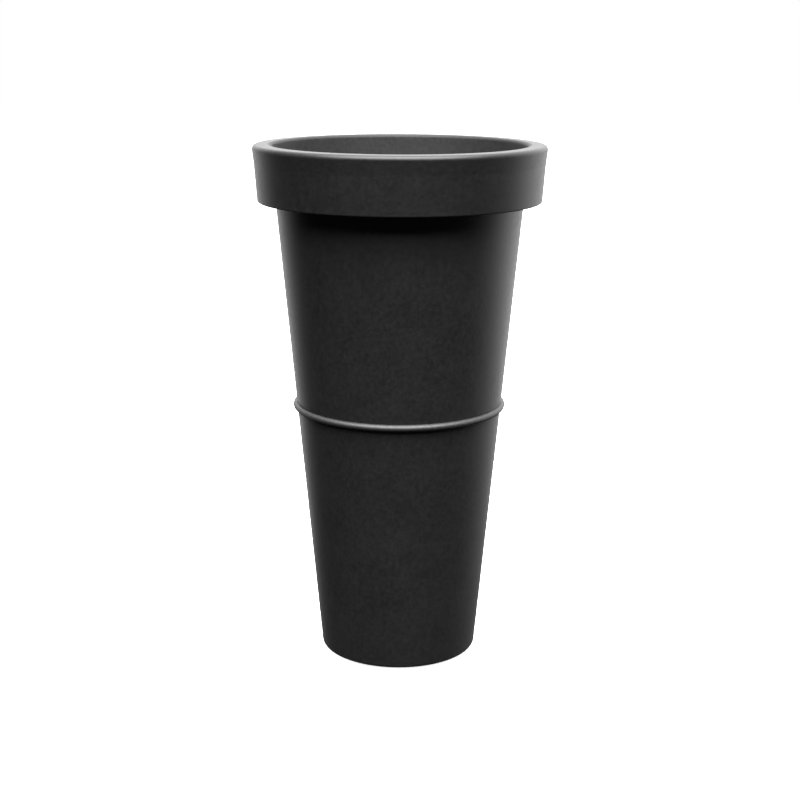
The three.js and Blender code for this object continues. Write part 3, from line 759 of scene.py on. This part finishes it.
# Circles of weep holes: how many, at which radius, and degrees round to the first.
for count, distance, first in (
    (6, WEEP_INNER_CIRCLE, 0),
    (12, ring_radius - WEEP_INSIDE_RING, 15),
    (18, ring_radius + WEEP_OUTSIDE_RING, 10),
):
    spots = circle(distance, count) @ np.array(Matrix.Rotation(math.radians(-first), 2))
    holes += [(tuple(spot), WEEP_RADIUS, WEEP_SIDES) for spot in spots]
rib_ring = [
    (ring_radius - RIB_WIDTH, shelf_low[2], RIB_EDGE),
    (ring_radius, shelf_low[2], RIB_EDGE),
    (ring_radius, shelf_bottom + RIB_LAP, 0),
    (ring_radius - RIB_WIDTH, shelf_bottom + RIB_LAP, 0),
]
bars = [
    bar(2 * ring_radius - RIB_WIDTH, RIB_WIDTH, shelf_low[2], shelf_bottom + RIB_LAP, angle)
    for angle in BAR_ANGLES
]
disc = pierced_disc(shelf_high[0], holes, shelf_bottom, shelf_high[2], SHELF_EDGE)
shelf_mesh = mesh_of("shelf", *gathered(disc, revolved(rounded(rib_ring), BIG_SIDES), *bars))
shelf_plastic = moulded_plastic(
    "moulded_shelf_plastic", SHELF_DARK, SHELF_LIGHT, SHELF_ROUGHNESS, SHELF_GRAIN
)
new_piece("shelf", shelf_mesh, "shelf", ["planting_shelf"], "shelf_plastic", shelf_plastic)

# ---------------------------------------------------------------------------------------------
# Shelf cleats: four angle brackets of laminate, bonded to the inside of the wall to carry the
# shelf. They were flow-coated with the wall.
CLEATS = 4
CLEAT_EDGE = 0.8
MERGE_WITHIN = 0.01  # distance between points that are one point of a CAD mesh
FLAT_WITHIN = 0.5  # degrees between triangles of one flat
EASED_FROM = 25.0  # degrees between two faces from which their edge is bevelled


def eased_copy(cad_name, edge):
    """A CAD node's mesh with its points merged, its flats made whole and its sharp edges bevelled."""
    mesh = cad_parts[cad_name].data.copy()
    mesh.materials.clear()
    edit = bmesh.new()
    edit.from_mesh(mesh)
    bmesh.ops.remove_doubles(edit, verts=edit.verts, dist=MERGE_WITHIN * MM)
    flat = math.radians(FLAT_WITHIN)
    bmesh.ops.dissolve_limit(edit, angle_limit=flat, verts=edit.verts, edges=edit.edges)
    sharp = [line for line in edit.edges if line.calc_face_angle(0) > math.radians(EASED_FROM)]
    settings = {"segments": 3, "profile": 0.5, "affect": "EDGES", "clamp_overlap": True}
    bmesh.ops.bevel(edit, geom=sharp, offset=edge * MM, **settings)
    edit.to_mesh(mesh)
    edit.free()
    mesh.shade_smooth()
    mesh.set_sharp_from_angle(angle=math.radians(SHARP_FROM))
    return mesh


for i in range(1, CLEATS + 1):
    cleat_mesh = eased_copy(f"shelf_cleat_{i}", CLEAT_EDGE)
    new_piece(f"cleat_{i}", cleat_mesh, "planter", [f"shelf_cleat_{i}"], "laminate", inside_coat)

# ---------------------------------------------------------------------------------------------
# Drain: a flanged plastic bush dropped through the board and the floor, on a rubber gasket, and
# drawn down by a hexagonal nut underneath.
BORE_RADIUS = 11.0
BARREL_RADIUS = 14.0
FLANGE_RADIUS = 23.0
FLANGE_THICKNESS = 3.0
GASKET_GAP = 0.3  # to the barrel
NUT_EDGE = 0.5
FITTING_DARK = "#16171a"
FITTING_LIGHT = "#232427"
FITTING_ROUGHNESS = 0.34
FITTING_GRAIN = 0.8
RUBBER_DARK = "#121213"
RUBBER_LIGHT = "#232324"


def moulded_rubber():
    """Moulded black rubber with a greyish bloom of dust that gathers in patches, and a fine skin
    that is drawn at 0.7 mm so that it shows."""
    material, tree, shader, place = new_material("moulded_black_rubber", {"IOR": 1.52})
    dust = {"Vector": place, "Scale": 1 / (8 * MM), "Detail": 5, "Roughness": 0.7}
    bloom = add(tree, "TexNoise", dust)
    pimples = {"Vector": place, "Scale": 1 / (0.7 * MM), "Detail": 3, "Roughness": 0.6}
    grain = add(tree, "TexNoise", pimples)
    blacks = {6: linear(RUBBER_DARK), 7: linear(RUBBER_LIGHT)}
    blacks["Factor"] = add(tree, "MapRange", [bloom, 0.4, 0.68])
    colour = add(tree, "Mix", blacks, data_type="RGBA").outputs[2]
    sheen = add(tree, "MapRange", [bloom, 0.35, 0.65, 0.55, 0.75])
    skin = add(tree, "Bump", {"Height": grain, "Distance": 0.03 * MM})
    feed(tree, shader, {"Base Color": colour, "Roughness": sheen, "Normal": skin})
    return material


fitting_plastic = moulded_plastic(
    "moulded_fitting_plastic", FITTING_DARK, FITTING_LIGHT, FITTING_ROUGHNESS, FITTING_GRAIN
)
rubber = moulded_rubber()
fitting_low, fitting_high = cad_size("drain_fitting")
flange_bottom = fitting_high[2] - FLANGE_THICKNESS
fitting_outline = rounded(
    [
        (BORE_RADIUS, fitting_low[2], 0.5),
        (BARREL_RADIUS, fitting_low[2], 0.6),
        (BARREL_RADIUS, flange_bottom, 0.5),
        (FLANGE_RADIUS, flange_bottom, 0.4),
        (FLANGE_RADIUS, fitting_high[2], 1.2),
        (BORE_RADIUS, fitting_high[2], 1.0),
    ]
)
fitting_mesh = mesh_of("drain_bush", *revolved(fitting_outline, SMALL_SIDES))
new_piece("drain_bush", fitting_mesh, "planter", ["drain_fitting"], "fitting_plastic", fitting_plastic)

gasket_low, gasket_high = cad_size("drain_gasket")
gasket_outline = rounded(
    [
        (BARREL_RADIUS + GASKET_GAP, gasket_low[2], 0.3),
        (gasket_high[0], gasket_low[2], 0.5),
        (gasket_high[0], gasket_high[2], 0.5),
        (BARREL_RADIUS + GASKET_GAP, gasket_high[2], 0.3),
    ]
)
gasket_mesh = mesh_of("drain_washer", *revolved(gasket_outline, SMALL_SIDES))
new_piece("drain_washer", gasket_mesh, "planter", ["drain_gasket"], "rubber", rubber)

nut_mesh = eased_copy("drain_nut", NUT_EDGE)
new_piece("drain_back_nut", nut_mesh, "planter", ["drain_nut"], "fitting_plastic", fitting_plastic)

# ---------------------------------------------------------------------------------------------
# Drain plug: moulded rubber with a knob to pull it by, pushed down into the bush. A ring seal sits
# in the groove round its shank.
PLUG_RADIUS = 10.4
PLUG_HEAD_RADIUS = 17.0
PLUG_HEAD_THICKNESS = 4.0
PLUG_HEAD_GAP = 0.3  # to the flange it rests on
KNOB_RADIUS = 8.0
KNOB_NECK_RADIUS = 4.5
KNOB_THICKNESS = 6.0
SEAL_SECTION = 1.4  # radius of the ring seal's round section
SEAL_SIDES = 24
GROOVE_GAP = 0.3  # between the seal and its groove

plug_low, plug_high = cad_size("drain_plug")
seal_low, seal_high = cad_size("plug_seal")
seal_height = (seal_low[2] + seal_high[2]) / 2
seal_middle = seal_high[0] - SEAL_SECTION
groove_half = SEAL_SECTION + GROOVE_GAP
head_bottom = fitting_high[2] + PLUG_HEAD_GAP
head_top = head_bottom + PLUG_HEAD_THICKNESS
knob_bottom = plug_high[2] - KNOB_THICKNESS
plug_outline = rounded(
    [
        (0, plug_low[2], 0),
        (PLUG_RADIUS, plug_low[2], 1.0),
        (PLUG_RADIUS, seal_height - groove_half, 0.3),
        (seal_middle - groove_half, seal_height - groove_half, 0.4),
        (seal_middle - groove_half, seal_height + groove_half, 0.4),
        (PLUG_RADIUS, seal_height + groove_half, 0.3),
        (PLUG_RADIUS, head_bottom, 0.5),
        (PLUG_HEAD_RADIUS, head_bottom, 0.8),
        (PLUG_HEAD_RADIUS, head_top, 1.6),
        (KNOB_NECK_RADIUS, head_top, 1.5),
        (KNOB_NECK_RADIUS, knob_bottom, 1.0),
        (KNOB_RADIUS, knob_bottom, 1.8),
        (KNOB_RADIUS, plug_high[2], 2.4),
        (0, plug_high[2], 0),
    ]
)
plug_mesh = mesh_of("plug", *revolved(plug_outline, SMALL_SIDES))
new_piece("plug", plug_mesh, "plug", ["drain_plug"], "rubber", rubber)

seal_outline = circle(SEAL_SECTION, SEAL_SIDES, (seal_middle, seal_height))
seal_mesh = mesh_of("seal", *revolved(seal_outline, SMALL_SIDES))
new_piece("seal", seal_mesh, "plug", ["plug_seal"], "rubber", rubber)

# ---------------------------------------------------------------------------------------------
# Feet: four moulded rubber feet under the raised floor, each held by a stainless screw driven up
# through it into the board. The screw's head is sunk so that it can't mark the floor.
FEET = 4
FOOT_BOTTOM_RADIUS = 14.5
FOOT_EDGE = 1.5
SCREW_HOLE_RADIUS = 2.5
HEAD_HOLE_RADIUS = 5.2
HEAD_HOLE_DEPTH = 4.9
SCREW_EDGE = 0.2
STEEL_DARK = "#9c9d9f"
STEEL_LIGHT = "#c6c7c9"


def headed_stainless():
    """Cold-headed stainless steel, tumbled: bright grey, with scratches lying all ways that are
    drawn 0.12 mm wide so that they show."""
    material, tree, shader, place = new_material("tumbled_stainless_steel", {"Metallic": 1.0})
    one_way = stretched(tree, place, 3, 0.12, (70, 10, 20))
    other_way = stretched(tree, place, 3, 0.12, (80, 40, 130))
    crossing = [add(tree, "TexNoise", {"Vector": way, "Scale": 1}) for way in (one_way, other_way)]
    scratches = add(tree, "Math", crossing, operation="MULTIPLY")
    greys = {6: linear(STEEL_DARK), 7: linear(STEEL_LIGHT)}
    greys["Factor"] = add(tree, "MapRange", [scratches, 0.15, 0.35])
    colour = add(tree, "Mix", greys, data_type="RGBA").outputs[2]
    sheen = add(tree, "MapRange", [scratches, 0.15, 0.35, 0.24, 0.4])
    scored = add(tree, "Bump", {"Height": scratches, "Distance": 0.01 * MM})
    feed(tree, shader, {"Base Color": colour, "Roughness": sheen, "Normal": scored})
    return material


steel = headed_stainless()
for i in range(1, FEET + 1):
    foot_low, foot_high = cad_size(f"foot_{i}")
    middle = (foot_low + foot_high) / 2
    foot_outline = rounded(
        [
            (HEAD_HOLE_RADIUS, foot_low[2], 0.4),
            (FOOT_BOTTOM_RADIUS, foot_low[2], FOOT_EDGE),
            (foot_high[0] - middle[0], foot_high[2], 0.5),
            (SCREW_HOLE_RADIUS, foot_high[2], 0),
            (SCREW_HOLE_RADIUS, foot_low[2] + HEAD_HOLE_DEPTH, 0),
            (HEAD_HOLE_RADIUS, foot_low[2] + HEAD_HOLE_DEPTH, 0.3),
        ]
    )
    foot_mesh = mesh_of(f"rubber_foot_{i}", *revolved(foot_outline, SMALL_SIDES, middle[:2]))
    new_piece(f"rubber_foot_{i}", foot_mesh, "planter", [f"foot_{i}"], "rubber", rubber)
    screw_mesh = eased_copy(f"foot_screw_{i}", SCREW_EDGE)
    new_piece(f"screw_{i}", screw_mesh, "planter", [f"foot_screw_{i}"], "stainless", steel)
